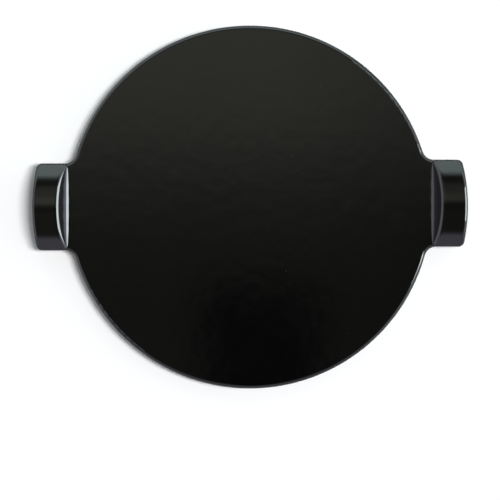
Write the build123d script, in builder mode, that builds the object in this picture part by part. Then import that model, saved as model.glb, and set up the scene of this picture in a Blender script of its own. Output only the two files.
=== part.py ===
from build123d import *
import math
import os

# A round ceramic pizza stone with two arched handles, standing on two bare foot rings.
# Millimetres, +Z up, the origin on the table under the middle of the plate, handles along X.
# The clay pieces are luted together damp, so each pair of seats meets face to face.

# Plate
plate_radius = 182.5
plate_thickness = 13.0
top_rounding = 4.0
bottom_rounding = 3.5

# Handles: an arched lug rises from a straight crease just outside the rim of the plate
handle_reach = 35.5
handle_width = 87.5
handle_corner_radius = 6.0
junction_radius = 12.0
seat_depth = 1.5
crease_gap = 0.8
riser_run = 9.2
arch_rise = 11.0
arch_spread = 4.25
arch_spring_depth = 7.2
arch_sink = 0.5
crest_rounding = 6.0
arch_rounding = 3.5
left_drift = 0.0
right_drift = 3.8

# Finger gap under each handle
grip_thickness = 11.5
grip_side_wall = 7.75
gap_setback = 3.0
gap_foot_bend = 6.0
gap_shoulder_run = 10.0
gap_shoulder_drop = 2.5
gap_shoulder_bend = 6.0

# Foot rings
foot_height = 5.0
outer_ring_radius = 150.0
inner_ring_radius = 70.0
ring_width = 9.0
ring_foot_share = 0.8
ring_rounding = 2.0

# Every cut runs past the clay by this much
overrun = 10.0

plate_top = foot_height + plate_thickness
crest = plate_top + arch_rise
reach = plate_radius + handle_reach
crease = plate_radius + crease_gap
riser_lean = riser_run / arch_rise
seat = plate_radius - seat_depth
arch_half_width = handle_width / 2 + arch_spread
arch_spring = plate_top - arch_spring_depth
arch_root = top_rounding + arch_sink
arch_base = plate_top - arch_root
grip_underside = crest - grip_thickness
gap_start = crease + gap_setback
gap_half_width = handle_width / 2 - grip_side_wall
gap_shoulder_half = gap_half_width - gap_shoulder_run
gap_shoulder = grip_underside - gap_shoulder_drop
gap_rise = grip_underside - foot_height
handles = ((-1, left_drift), (1, right_drift))

# Two places count as one within the tolerance, and a direction counts as square to an axis, or
# along it, when its share of that axis is below the first share or above the second.
tolerance = plate_thickness / 1000
square_share = 0.01
along_share = 0.99

# Section of an arch across the handle: the top of a flat ellipse, wider than the handle
with BuildSketch() as arch_sketch:
    with Locations((0, arch_spring)):
        Ellipse(arch_half_width, crest - arch_spring)
    with Locations((0, arch_base)):
        Rectangle(2 * arch_half_width, crest, align=(Align.CENTER, Align.MIN), mode=Mode.INTERSECT)
arch_section = arch_sketch.sketch

# Section of the finger gap: a low crown, a slope and a soft foot on each side, open to the table
with BuildSketch() as gap_sketch:
    with BuildLine():
        Polyline(
            (-gap_shoulder_half, gap_shoulder),
            (-gap_half_width, foot_height),
            (-reach, foot_height),
            (-reach, -overrun),
            (reach, -overrun),
            (reach, foot_height),
            (gap_half_width, foot_height),
            (gap_shoulder_half, gap_shoulder),
        )
        ThreePointArc(
            (gap_shoulder_half, gap_shoulder),
            (0, grip_underside),
            (-gap_shoulder_half, gap_shoulder),
        )
    make_face()
    for half, bend in ((gap_half_width, gap_foot_bend), (gap_shoulder_half, gap_shoulder_bend)):
        fillet(gap_sketch.vertices().filter_by(lambda v: abs(abs(v.X) - half) < tolerance), bend)
gap_section = gap_sketch.sketch


def handle_plan(side, drift):
    """Plan of one handle, from the middle of the plate out to its curved end."""
    with BuildSketch() as outline:
        Circle(reach)
        with Locations((side * reach, drift)):
            Rectangle(2 * reach, handle_width, mode=Mode.INTERSECT)
        fillet(outline.vertices().filter_by(lambda v: abs(v.X) > plate_radius), handle_corner_radius)
    return outline.sketch


# Outline of the whole stone seen from above
with BuildSketch() as plan_sketch:
    Circle(plate_radius)
    for side, drift in handles:
        add(handle_plan(side, drift))
    corners = plan_sketch.vertices().filter_by(
        lambda v: abs(math.hypot(v.X, v.Y) - plate_radius) < tolerance
    )
    fillet(corners, junction_radius)
plan = plan_sketch.sketch


def level_edges(walls):
    """The edges of upright walls that don't stand upright themselves."""
    return walls.edges().filter_by(lambda e: abs(e.tangent_at(0.5).Z) < along_share)


def raised_handle(side, drift):
    """The part of a handle that arches up above the plate. Its rounded foot sinks into the rim."""
    depth = arch_root + overrun
    rise = arch_rise + overrun
    with BuildPart() as arch:
        with BuildSketch(Plane.XY.offset(arch_base)):
            add(plan)
        extrude(amount=arch_root + arch_rise + overrun)
        with BuildSketch(Plane.YZ):
            with Locations((drift, 0)):
                add(arch_section)
        extrude(amount=side * (reach + overrun), mode=Mode.INTERSECT)
        with BuildSketch(Plane.XZ):
            with BuildLine():
                Polyline(
                    (side * (crease - depth * riser_lean), plate_top - depth),
                    (side * (crease + rise * riser_lean), plate_top + rise),
                    (-side * (reach + overrun), plate_top + rise),
                    (-side * (reach + overrun), plate_top - depth),
                    close=True,
                )
            make_face()
        extrude(amount=plate_radius + overrun, both=True, mode=Mode.SUBTRACT)
        tops = arch.faces().filter_by(lambda f: f.normal_at().Z > square_share)
        riser = tops.filter_by(lambda f: side * f.normal_at().X < -square_share)
        roof = tops.filter_by(lambda f: abs(f.normal_at().X) < square_share)
        fillet(riser.edges() & roof.edges(), crest_rounding)
        walls = arch.faces().filter_by(lambda f: abs(f.normal_at().Z) < square_share)
        fillet(level_edges(walls).filter_by(lambda e: e.center().Z > arch_base + tolerance), arch_rounding)
    return arch.part


# Clay taken out under the right handle, up to the arched roof and in to a slope at the root
with BuildPart() as finger_gap:
    with BuildSketch(Plane.YZ.offset(crease)):
        add(gap_section)
    extrude(amount=handle_reach + overrun)
    with BuildSketch(Plane.XZ):
        with BuildLine():
            Polyline(
                (gap_start - overrun, -overrun),
                (gap_start - overrun, foot_height),
                (gap_start, foot_height),
                (gap_start + (gap_rise + overrun) * riser_lean, grip_underside + overrun),
                (reach + gap_rise + overrun, grip_underside + overrun),
                (reach + gap_rise + overrun, -overrun),
                close=True,
            )
        make_face()
    extrude(amount=reach, both=True, mode=Mode.INTERSECT)

# The whole pressed and luted body, before it is told apart at the seats
with BuildPart() as clay_body:
    with BuildSketch(Plane.XY.offset(foot_height)):
        add(plan)
    extrude(amount=plate_thickness)
    fillet(clay_body.faces().sort_by(Axis.Z)[-1].edges(), top_rounding)
    for side, drift in handles:
        add(raised_handle(side, drift))
    for side, drift in handles:
        with Locations((0, drift, 0)):
            add(finger_gap.part, rotation=(0, 0, 90 - 90 * side), mode=Mode.SUBTRACT)
    walls = clay_body.faces().filter_by(lambda f: abs(f.normal_at().Z) < square_share)
    fillet(level_edges(walls).filter_by(lambda e: e.center().Z < foot_height + tolerance), bottom_rounding)

with BuildPart() as baking_plate:
    add(clay_body.part)
    split(bisect_by=Plane.YZ.offset(seat), keep=Keep.BOTTOM)
    split(bisect_by=Plane.YZ.offset(-seat), keep=Keep.TOP)

with BuildPart() as left_handle:
    add(clay_body.part)
    split(bisect_by=Plane.YZ.offset(-seat), keep=Keep.BOTTOM)

with BuildPart() as right_handle:
    add(clay_body.part)
    split(bisect_by=Plane.YZ.offset(seat), keep=Keep.TOP)


def foot_ring(radius):
    """A bearing ring of bare clay, narrower where it stands on the table."""
    with BuildPart() as ring:
        with BuildSketch(Plane.XZ) as section:
            top = ring_width / 2
            bottom = top * ring_foot_share
            with BuildLine():
                Polyline(
                    (radius - top, foot_height),
                    (radius + top, foot_height),
                    (radius + bottom, 0),
                    (radius - bottom, 0),
                    close=True,
                )
            make_face()
            fillet(section.vertices().filter_by(lambda v: v.Y < tolerance), ring_rounding)
        revolve(axis=Axis.Z)
    return ring


outer_foot_ring = foot_ring(outer_ring_radius)
inner_foot_ring = foot_ring(inner_ring_radius)

pieces = {
    "baking_plate": baking_plate,
    "left_handle": left_handle,
    "right_handle": right_handle,
    "outer_foot_ring": outer_foot_ring,
    "inner_foot_ring": inner_foot_ring,
}

os.makedirs("parts", exist_ok=True)
for name, piece in pieces.items():
    piece.part.label = name
    export_step(piece.part, f"parts/{name}.step")
    print(name, "solids", len(piece.solids()), "cm3", round(piece.part.volume / 1000, 1))
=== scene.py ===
# %% [markdown]
# # A black glazed pizza stone, seen from straight above
#
# The object is a round slab of stoneware, 365 mm across, with an arched lug handle on each side.
# It is pressed and luted together from damp clay, dipped in a black glaze and fired. It stands on
# two rings underneath that stay bare, because glaze would stick to the kiln shelf.
#
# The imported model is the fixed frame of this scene. It gives the true shape and size of every
# clay piece, in metres, so this script adds what a potter adds last: the glaze and its edges.

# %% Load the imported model
import math
import bpy
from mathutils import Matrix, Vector, noise


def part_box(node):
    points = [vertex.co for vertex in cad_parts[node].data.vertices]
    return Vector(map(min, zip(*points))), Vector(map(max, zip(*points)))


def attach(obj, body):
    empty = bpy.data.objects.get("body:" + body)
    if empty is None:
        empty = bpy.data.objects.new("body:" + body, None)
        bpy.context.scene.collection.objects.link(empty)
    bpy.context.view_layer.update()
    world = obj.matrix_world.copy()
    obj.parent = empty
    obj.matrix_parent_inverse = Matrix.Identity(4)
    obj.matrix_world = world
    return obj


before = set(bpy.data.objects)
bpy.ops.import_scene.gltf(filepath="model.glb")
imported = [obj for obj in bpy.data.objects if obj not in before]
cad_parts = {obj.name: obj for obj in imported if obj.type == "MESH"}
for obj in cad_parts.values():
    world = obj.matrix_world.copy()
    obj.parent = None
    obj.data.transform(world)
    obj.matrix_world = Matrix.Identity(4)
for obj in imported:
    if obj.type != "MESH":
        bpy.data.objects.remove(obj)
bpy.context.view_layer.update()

MM = 0.001
print("nodes", sorted(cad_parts))

# %% [markdown]
# ## Sizes that the looks need
#
# The level of the baking face, the radius of the slab and the place of both foot rings are read
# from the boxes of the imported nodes. A few sizes that a box doesn't tell, such as the slope of a
# riser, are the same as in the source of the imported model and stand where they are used.

# %% Read the sizes
plate_low, plate_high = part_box("baking_plate")
plate_top = plate_high.z
plate_underside = plate_low.z
plate_radius = (plate_high.y - plate_low.y) / 2
print("plate top", round(plate_top / MM, 2), "underside", round(plate_underside / MM, 2))
print("plate radius", round(plate_radius / MM, 2))

# %% [markdown]
# ## The camera
#
# The photo looks straight down: both handles show the same outline and no side wall shows. So the
# camera hangs over the table and looks along -Z. The object stands above the middle of the frame,
# which puts the camera's foot below the plate's centre. A long lens from two metres keeps the
# raised handles from leaning outwards, and no lens shift is needed.

# %% Camera
frame_pixels = 500
plate_centre_px = Vector((249.9, 206.95))
plate_radius_px = 181.9
camera_height = 2.0

metres_per_px = plate_radius / plate_radius_px
camera_x = (frame_pixels / 2 - plate_centre_px.x) * metres_per_px
camera_y = (plate_centre_px.y - frame_pixels / 2) * metres_per_px
camera_data = bpy.data.cameras.new("overhead_camera")
camera_data.sensor_width = 36
camera_data.lens = camera_data.sensor_width * camera_height / (frame_pixels * metres_per_px)
camera = bpy.data.objects.new("overhead_camera", camera_data)
camera.location = (camera_x, camera_y, plate_top + camera_height)
bpy.context.scene.collection.objects.link(camera)
bpy.context.scene.camera = camera
bpy.context.scene.view_settings.view_transform = "Standard"
print("metres a pixel", round(metres_per_px, 6), "lens in mm", round(camera_data.lens, 1))


# %% [markdown]
# ## Helpers for materials
#
# A colour is picked as a hex value, as a screen shows it, and Blender wants it linear. Every node
# is added by one function, which sets its properties and fills its inputs: a plain value goes into
# the socket, and another node's output is linked to it. Three more functions stand for the steps
# that come back all the time: a fade between two levels, a step of arithmetic, and a mix of two
# colours.

# %% Helpers for colours and nodes
def linear(hex_colour):
    """Linear RGBA of a hex colour as a screen shows it."""
    parts = [int(hex_colour[i : i + 2], 16) / 255 for i in (1, 3, 5)]
    return [c / 12.92 if c <= 0.04045 else ((c + 0.055) / 1.055) ** 2.4 for c in parts] + [1.0]


def node(tree, kind, inputs=None, **properties):
    """Adds a node with its properties, and fills its inputs with values or with other outputs."""
    new = tree.nodes.new(kind)
    for name, value in properties.items():
        setattr(new, name, value)
    for name, value in (inputs or {}).items():
        if isinstance(value, bpy.types.NodeSocket):
            tree.links.new(value, new.inputs[name])
        else:
            new.inputs[name].default_value = value
    return new


def fade(tree, value, span, levels=(0.0, 1.0), soft=False):
    """Goes from the first level to the second while the value crosses the span."""
    inputs = {"Value": value}
    inputs.update({"From Min": span[0], "From Max": span[1], "To Min": levels[0], "To Max": levels[1]})
    interpolation = "SMOOTHSTEP" if soft else "LINEAR"
    return node(tree, "ShaderNodeMapRange", inputs, interpolation_type=interpolation).outputs[0]


def maths(tree, operation, *values):
    """One step of arithmetic."""
    return node(tree, "ShaderNodeMath", dict(enumerate(values)), operation=operation).outputs[0]


def mix(tree, share, first, second, **properties):
    """The first colour where the share is zero, and the second where it is one."""
    inputs = {0: share, 6: first, 7: second}
    return node(tree, "ShaderNodeMix", inputs, data_type="RGBA", **properties).outputs[2]


def new_material(name):
    """An empty node material with its output, ready for a shader."""
    material = bpy.data.materials.new(name)
    material.use_nodes = True
    material.node_tree.nodes.clear()
    return material, material.node_tree, node(material.node_tree, "ShaderNodeOutputMaterial")


# %% [markdown]
# ## The studio
#
# A black gloss shows its surroundings more than itself, so the surroundings are half of its look.
# In the photo the ceiling is dim, a little brighter at the back and darker to the right, and a dark
# camera boom comes in overhead from the front. The low walls are pale up to about 55 degrees and
# differ from side to side. All of that is a function of direction alone, so it is written once in
# the world, and holds from every side.
#
# A span is a range of the direction's X, Y or Z, which run from -1 to 1. X points to the right, Y
# to the back and Z straight up. Walls can be brighter than white, so their colours are linear.

# %% World
world = bpy.data.worlds.new("studio")
bpy.context.scene.world = world
world.use_nodes = True
sky = world.node_tree
sky.nodes.clear()
direction = node(sky, "ShaderNodeSeparateXYZ", {0: node(sky, "ShaderNodeTexCoord").outputs["Generated"]})
to_right, to_back, upward = direction.outputs

# The ceiling's brightness against how far to the back the direction leans
ceiling_span = (-0.1, 0.4)
ceiling_points = ((0.0, 0.14), (0.19, 0.12), (0.42, 0.58), (0.62, 0.43), (0.8, 0.38), (1.0, 0.14))
ceiling_ramp = node(sky, "ShaderNodeFloatCurve", {"Value": fade(sky, to_back, ceiling_span)})
curve = ceiling_ramp.mapping.curves[0]
curve.points[0].location = ceiling_points[0]
curve.points[1].location = ceiling_points[-1]
for place in ceiling_points[1:-1]:
    curve.points.new(*place)
ceiling_ramp.mapping.update()

# The boom: a soft dark streak from a little past the zenith towards the front
boom_middle = 0.006
boom_edge = (0.015, 0.045)
boom_tip = (-0.035, 0.0)
boom_shade = 0.97
beside = maths(sky, "ABSOLUTE", maths(sky, "SUBTRACT", to_right, boom_middle))
boom_side = fade(sky, beside, boom_edge, (1.0, 0.0), soft=True)
boom_end = fade(sky, to_back, boom_tip, (boom_shade, 0.0), soft=True)
boom = maths(sky, "MULTIPLY", boom_side, boom_end)
ceiling = maths(sky, "MULTIPLY", ceiling_ramp.outputs[0], maths(sky, "SUBTRACT", 1.0, boom))

# The ceiling falls off towards the right-hand side
right_span = (0.02, 0.085)
right_level = 0.7
ceiling = maths(sky, "MULTIPLY", ceiling, fade(sky, to_right, right_span, (1.0, right_level)))
ceiling_colour = mix(sky, 1.0, linear("#fffff0"), ceiling, blend_type="MULTIPLY")

# The low surroundings: lilac at the front, pale at the left, brighter and cooler at the back and
# on the right
surroundings = (0.83, 0.83, 0.98, 1)
for axis, span, wall in (
    (to_right, (-0.45, -0.8), (1.7, 1.7, 1.8, 1)),
    (to_back, (0.2, 0.7), (1.9, 2.3, 2.3, 1)),
    (to_right, (0.5, 0.9), (2.4, 2.7, 2.7, 1)),
):
    surroundings = mix(sky, fade(sky, axis, span, soft=True), surroundings, wall)

# Close to the horizon they are dim. Only on the right does a lilac wall reach down almost to it.
horizon_span = (0.12, 0.36)
right_wall_span = (0.85, 0.95)
wall_foot_span = (0.08, 0.14)
above_horizon = fade(sky, upward, horizon_span, soft=True)
right_wall = fade(sky, to_right, right_wall_span, soft=True)
wall_foot = fade(sky, upward, wall_foot_span, soft=True)
low_wall = maths(sky, "MULTIPLY", right_wall, wall_foot)
horizon = mix(sky, low_wall, (0.35, 0.35, 0.42, 1), (2.3, 2.3, 2.9, 1))
surroundings = mix(sky, above_horizon, horizon, surroundings)

# They end at a soft line about 55 degrees above the horizon
wall_top_span = (0.76, 0.88)
room = mix(sky, fade(sky, upward, wall_top_span, soft=True), surroundings, ceiling_colour)

# Little of it reaches matt surfaces: the room is far larger than the lit set. The camera itself
# sees plain white behind the table.
matt_share = 0.12
rays = node(sky, "ShaderNodeLightPath")
fill = fade(sky, rays.outputs["Is Diffuse Ray"], (0.0, 1.0), (1.0, matt_share))
seen = mix(sky, rays.outputs["Is Camera Ray"], room, linear("#f7f8f8"))
background = node(sky, "ShaderNodeBackground", {"Color": seen, "Strength": fill})
node(sky, "ShaderNodeOutputWorld", {"Surface": background.outputs[0]})
print("world nodes", len(sky.nodes))

# %% [markdown]
# ## Lamps
#
# One large softbox stands high on the right. It throws the short soft shadow on the left of the
# object. A lower one stands on the right too, and gloss shows it as the thin bright lines on every
# rounded edge that faces it: the left handle's crease and crest, and the right handle's end.
# The two jobs are kept apart, so the lines and the shadow can be set one by one.

# %% Lamps
def softbox(name, azimuth, elevation, distance, width, height, radiance, colour, mirrored):
    """An area lamp that faces the object. Azimuth 0 is +X and 90 is +Y, in degrees.

    A mirrored lamp is only seen in gloss, and any other one only lights matt surfaces."""
    data = bpy.data.lights.new(name, "AREA")
    data.shape = "RECTANGLE"
    data.size, data.size_y = width, height
    data.energy = math.pi * width * height * radiance
    data.color = linear(colour)[:3]
    lamp = bpy.data.objects.new(name, data)
    flat = distance * math.cos(math.radians(elevation))
    lamp.location = (
        flat * math.cos(math.radians(azimuth)),
        flat * math.sin(math.radians(azimuth)),
        distance * math.sin(math.radians(elevation)),
    )
    lamp.rotation_euler = lamp.location.to_track_quat("Z", "Y").to_euler()
    lamp.visible_camera = False
    lamp.visible_diffuse = not mirrored
    lamp.visible_glossy = mirrored
    bpy.context.scene.collection.objects.link(lamp)
    print(name, "watts", round(data.energy, 1))


softbox("key_softbox", azimuth=0, elevation=69, distance=8.0, width=1.3, height=3.4,
        radiance=41.0, colour="#ffffff", mirrored=False)
softbox("side_softbox", azimuth=1, elevation=38, distance=3.0, width=1.7, height=2.2,
        radiance=12.0, colour="#eefafa", mirrored=True)

# %% [markdown]
# ## The table
#
# The table is a plain matt white sheet. The lamps alone bring it close to white, and a little
# light of its own, seen by camera, gloss and glass rays, takes it the rest of the way without
# any more light on the object. The sheet can't be seen from below, so the foot rings can.

# %% Table
table_half = 6.0
table_lift = 0.07
bpy.ops.object.select_all(action="DESELECT")
bpy.ops.mesh.primitive_plane_add(size=2 * table_half, location=(0, 0, 0))
table = bpy.context.object
table.name = "table"
table_material, tree, output = new_material("matt_white_table")
rays = node(tree, "ShaderNodeLightPath")
seen = maths(tree, "MAXIMUM", rays.outputs["Is Camera Ray"], rays.outputs["Is Glossy Ray"])
seen = maths(tree, "MAXIMUM", seen, rays.outputs["Is Transmission Ray"])
matt = node(tree, "ShaderNodeBsdfDiffuse", {"Color": (0.93, 0.93, 0.93, 1)})
glow = node(tree, "ShaderNodeEmission", {"Strength": maths(tree, "MULTIPLY", seen, table_lift)})
lit = node(tree, "ShaderNodeAddShader", {0: matt.outputs[0], 1: glow.outputs[0]})
clear = node(tree, "ShaderNodeBsdfTransparent")
below = node(tree, "ShaderNodeNewGeometry").outputs["Backfacing"]
sides = node(tree, "ShaderNodeMixShader", {0: below, 1: lit.outputs[0], 2: clear.outputs[0]})
tree.links.new(sides.outputs[0], output.inputs["Surface"])
table.data.materials.append(table_material)


# %% [markdown]
# ## Patterns that both finishes use
#
# Every pattern is measured in millimetres of the real surface and reads the piece's own place in
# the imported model, so it runs on from one piece to the next. The distance from the middle tells
# the baking face from the rim, and it lays the turning marks on the foot rings.

# %% Helpers for patterns
def from_middle(tree, place):
    """How far a place is from the vertical line through the middle of the plate."""
    flat = node(tree, "ShaderNodeSeparateXYZ", {0: place})
    level = node(tree, "ShaderNodeCombineXYZ", {0: flat.outputs[0], 1: flat.outputs[1]})
    length = node(tree, "ShaderNodeVectorMath", {0: level.outputs[0]}, operation="LENGTH")
    return length.outputs["Value"]


def cloud(tree, place, size, detail):
    """Soft noise with features of one size."""
    return node(tree, "ShaderNodeTexNoise", {"Vector": place, "Scale": 1 / size, "Detail": detail}).outputs[0]


def specks(tree, place, spacing, span, strength):
    """Round specks. The span is the fade at a speck's edge, as shares of the spacing."""
    cells = node(tree, "ShaderNodeTexVoronoi", {"Vector": place, "Scale": 1 / spacing})
    return fade(tree, cells.outputs["Distance"], span, (strength, 0.0))


def relief(tree, layers):
    """The normal of several bumps laid over each other, each a height, a strength and a depth."""
    inputs = {}
    for height, strength, depth in layers:
        inputs.update({"Height": height, "Strength": strength, "Distance": depth})
        inputs = {"Normal": node(tree, "ShaderNodeBump", inputs).outputs[0]}
    return inputs["Normal"]


# %% [markdown]
# ## Black glaze
#
# The glaze is an iron and manganese black, fired glossy. Almost nothing comes back from inside it,
# so its colour is close to black, and the surface reflects 4 to 5 percent like any glass. It isn't
# as flat as glass: it lies in slow waves a centimetre or two long, from the wet dip, and under a
# raking light it has a fine orange peel. A few grains of kiln dust break it.
# The flat baking face is a touch more satin than the handles, because flour and peels rub it.

# %% Black glaze
def black_glaze(name):
    """Fired black glaze. All glazed pieces share the pattern, so it runs on across a luted seam."""
    material, tree, output = new_material(name)
    place = node(tree, "ShaderNodeTexCoord").outputs["Object"]

    # Slow waves and orange peel
    wave_size, wave_depth = 16 * MM, 0.05 * MM
    peel_size, peel_depth = 1.5 * MM, 0.002 * MM
    waves = cloud(tree, place, wave_size, 1.0)
    peel = cloud(tree, place, peel_size, 2.0)
    normal = relief(tree, ((waves, 1.0, wave_depth), (peel, 1.0, peel_depth)))

    # Roughness: a smear here and there, and a little more on the baking face, which ends where
    # the rim starts to round
    smear_size = 45 * MM
    smear_roughness = (0.03, 0.06)
    face_roughness = 0.02
    face_edge = (plate_radius - 8 * MM, plate_radius - 3 * MM)
    smears = fade(tree, cloud(tree, place, smear_size, 4.0), (0.3, 0.7), smear_roughness)
    face = fade(tree, from_middle(tree, place), face_edge, (1.0, 0.0), soft=True)
    roughness = maths(tree, "MULTIPLY_ADD", face, face_roughness, smears)

    # A few pale grains of kiln dust, about 0.7 mm across
    dust_spacing = 18 * MM
    grains = specks(tree, place, dust_spacing, (0.012, 0.024), 1.0)
    colour = mix(tree, grains, linear("#030303"), linear("#3c3a36"))
    glaze = node(tree, "ShaderNodeBsdfPrincipled", {
        "Base Color": colour, "IOR": 1.52, "Roughness": roughness, "Normal": normal})
    tree.links.new(glaze.outputs[0], output.inputs["Surface"])
    return material


# %% [markdown]
# ## Bare stoneware
#
# The foot rings are wiped free of glaze before the firing. The clay is a warm grey brown with iron
# grains, and it is rubbed smooth on a wet stone afterwards, which leaves fine rings round the
# middle. The two browns lie in soft clouds, because the flame doesn't reach the foot evenly.

# %% Bare stoneware
def bare_clay(name):
    """Unglazed, sanded stoneware with grain, iron specks and fine turning marks."""
    material, tree, output = new_material(name)
    place = node(tree, "ShaderNodeTexCoord").outputs["Object"]

    # Two browns in clouds, and dark iron specks
    cloud_size = 30 * MM
    speck_spacing = 2.2 * MM
    browns = mix(tree, fade(tree, cloud(tree, place, cloud_size, 3.0), (0.35, 0.65)),
                 linear("#9a8268"), linear("#75604c"))
    iron = specks(tree, place, speck_spacing, (0.1, 0.17), 0.75)
    colour = mix(tree, iron, browns, linear("#33261d"))

    # Grain and turning marks
    grain_size, grain_depth = 0.4 * MM, 0.08 * MM
    turn_spacing, turn_depth = 0.5 * MM, 0.02 * MM
    grain = cloud(tree, place, grain_size, 3.0)
    turns = maths(tree, "SINE", maths(tree, "MULTIPLY", from_middle(tree, place), 2 * math.pi / turn_spacing))
    normal = relief(tree, ((turns, 0.5, turn_depth), (grain, 0.8, grain_depth)))
    roughness = fade(tree, grain, (0.3, 0.7), (0.72, 0.92))
    clay = node(tree, "ShaderNodeBsdfPrincipled", {
        "Base Color": colour, "Roughness": roughness, "IOR": 1.5, "Normal": normal})
    tree.links.new(clay.outputs[0], output.inputs["Surface"])
    return material


finishes = {
    "baking_plate": black_glaze("plate_black_glaze"),
    "left_handle": black_glaze("handle_black_glaze"),
    "outer_foot_ring": bare_clay("bare_stoneware"),
}
finishes["right_handle"] = finishes["left_handle"]
finishes["inner_foot_ring"] = finishes["outer_foot_ring"]
for name, finish in finishes.items():
    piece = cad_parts[name]
    for material_slot in piece.material_slots:
        material_slot.material = finish
    print(name, "slots", len(piece.material_slots), "triangles", len(piece.data.polygons))

# %% [markdown]
# ## Glaze gathered in the creases
#
# Wet glaze runs into an inside corner and dries there as a hollow fillet. Along the crease where
# each handle rises from the plate it is thick enough to draw a bright line of its own. It is
# modelled as a closed bar: a hollow arc on top, a point sunk in the clay, and ends that thin out.
# The arc turns fast on the plate and slowly on the riser, as a run of thick glaze does.

# %% Section of the glaze in a crease
crease_gap = 0.8 * MM
riser_rise = 11.0 * MM
riser_run = 9.2 * MM
crease = plate_radius + crease_gap
riser_angle = math.atan2(riser_rise, riser_run)
pool_arc = 8.0 * MM
pool_angle = math.radians(44.5)
turning_power = 3
arc_steps = 14
sunk_point = Vector((1.0, -0.8)) * MM

# Out from the crease and up from the plate. The arc starts where its end comes to lie on the riser.
step_length = pool_arc / arc_steps
turns = [pool_angle * (1 - (1 - (step + 0.5) / arc_steps) ** turning_power) for step in range(arc_steps)]
pool_section = [Vector((0.0, 0.0))]
for turn in turns:
    pool_section.append(pool_section[-1] + Vector((math.cos(turn), math.sin(turn))) * step_length)
pool_start = pool_section[-1].y / math.tan(riser_angle) - pool_section[-1].x
pool_section = [spot + Vector((pool_start, 0.0)) for spot in pool_section]
pool_section += [sunk_point, pool_section[0]]
print("pool from", round(pool_start / MM, 2), "to", [round(v / MM, 2) for v in pool_section[arc_steps]])

# %% [markdown]
# The bar starts as a flat grid, because a grid has its rows and columns in order: each row becomes
# a line along the crease, and each column a section. The first and the last row fall together, and
# so does each end, so merging close points closes the bar.

# %% Glaze in the creases
pool_half = 40.2 * MM
length_steps = 72
thinning = 0.3
ripple = 0.05
ripple_turns = 17
smooth_angle = math.radians(40)
merge_distance = 0.001 * MM
section_rows = len(pool_section) - 1


def pool_share(along, side):
    """How full the section is at a place from -1 to 1 along the crease: thin ends, slight ripples."""
    rounded_end = math.sqrt(max(0.0, 1 - along ** 4))
    return rounded_end * (1 - thinning * along ** 2) * (1 + ripple * math.sin(ripple_turns * along + side))


def crease_glaze(name, side, drift):
    """A bar of glaze along the crease of one handle."""
    bpy.ops.object.select_all(action="DESELECT")
    bpy.ops.mesh.primitive_grid_add(x_subdivisions=section_rows, y_subdivisions=length_steps, size=2)
    pool = bpy.context.object
    pool.name = name
    for vertex in pool.data.vertices:
        row = round((vertex.co.x + 1) / 2 * section_rows)
        along = vertex.co.y
        out, up = pool_section[row] * pool_share(along, side)
        vertex.co = (side * (crease + out), drift + pool_half * along, plate_top + up)
    bpy.ops.object.mode_set(mode="EDIT")
    bpy.ops.mesh.select_all(action="SELECT")
    bpy.ops.mesh.remove_doubles(threshold=merge_distance)
    bpy.ops.mesh.normals_make_consistent(inside=False)
    bpy.ops.object.mode_set(mode="OBJECT")
    bpy.ops.object.shade_smooth_by_angle(angle=smooth_angle)
    pool.data.materials.append(finishes["left_handle"])
    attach(pool, "root")
    print(name, "triangles", sum(len(face.vertices) - 2 for face in pool.data.polygons))


right_drift = 3.8 * MM
crease_glaze("left_crease_glaze", -1, 0.0)
crease_glaze("right_crease_glaze", 1, right_drift)

# %% [markdown]
# ## The glaze's edge at the feet
#
# Where the glaze is wiped off, it draws back in the fire and leaves a thin rolled edge. It follows
# both sides of each foot ring on the underside of the slab. Each edge is a torus whose points are
# moved a little by noise, so no two places are equally thick.

# %% Glaze edges
edge_radius = 0.6 * MM
edge_wander, wander_size = 0.7 * MM, 22 * MM
thickness_change, thickness_size = 0.5, 9 * MM
ring_width = 9.0 * MM


def glaze_edge(name, radius, seed):
    """One rolled edge of glaze round a foot ring, on the underside of the slab."""
    bpy.ops.object.select_all(action="DESELECT")
    bpy.ops.mesh.primitive_torus_add(
        location=(0, 0, 0), major_radius=radius, minor_radius=edge_radius,
        major_segments=420, minor_segments=10)
    edge = bpy.context.object
    edge.name = name
    for vertex in edge.data.vertices:
        turn = math.atan2(vertex.co.y, vertex.co.x)
        spot = Vector((math.cos(turn), math.sin(turn), 0)) * radius
        wander = noise.noise(Vector((spot.x, spot.y, seed * MM)) / wander_size) * edge_wander
        thickness = 1 + thickness_change * noise.noise(Vector((spot.x, spot.y, -seed * MM)) / thickness_size)
        body = vertex.co - spot
        vertex.co = spot * (1 + wander / radius) + body * thickness
        vertex.co.z += plate_underside
    edge.data.shade_smooth()
    edge.data.materials.append(finishes["baking_plate"])
    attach(edge, "root")
    print(name, "radius in mm", round(radius / MM, 1))


for ring, seed in (("outer_foot_ring", 11), ("inner_foot_ring", 47)):
    low_corner, high_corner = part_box(ring)
    ring_outside = (high_corner.x - low_corner.x) / 2
    glaze_edge(ring + "_glaze_outside", ring_outside + edge_radius, seed)
    glaze_edge(ring + "_glaze_inside", ring_outside - ring_width - edge_radius, seed + 100)
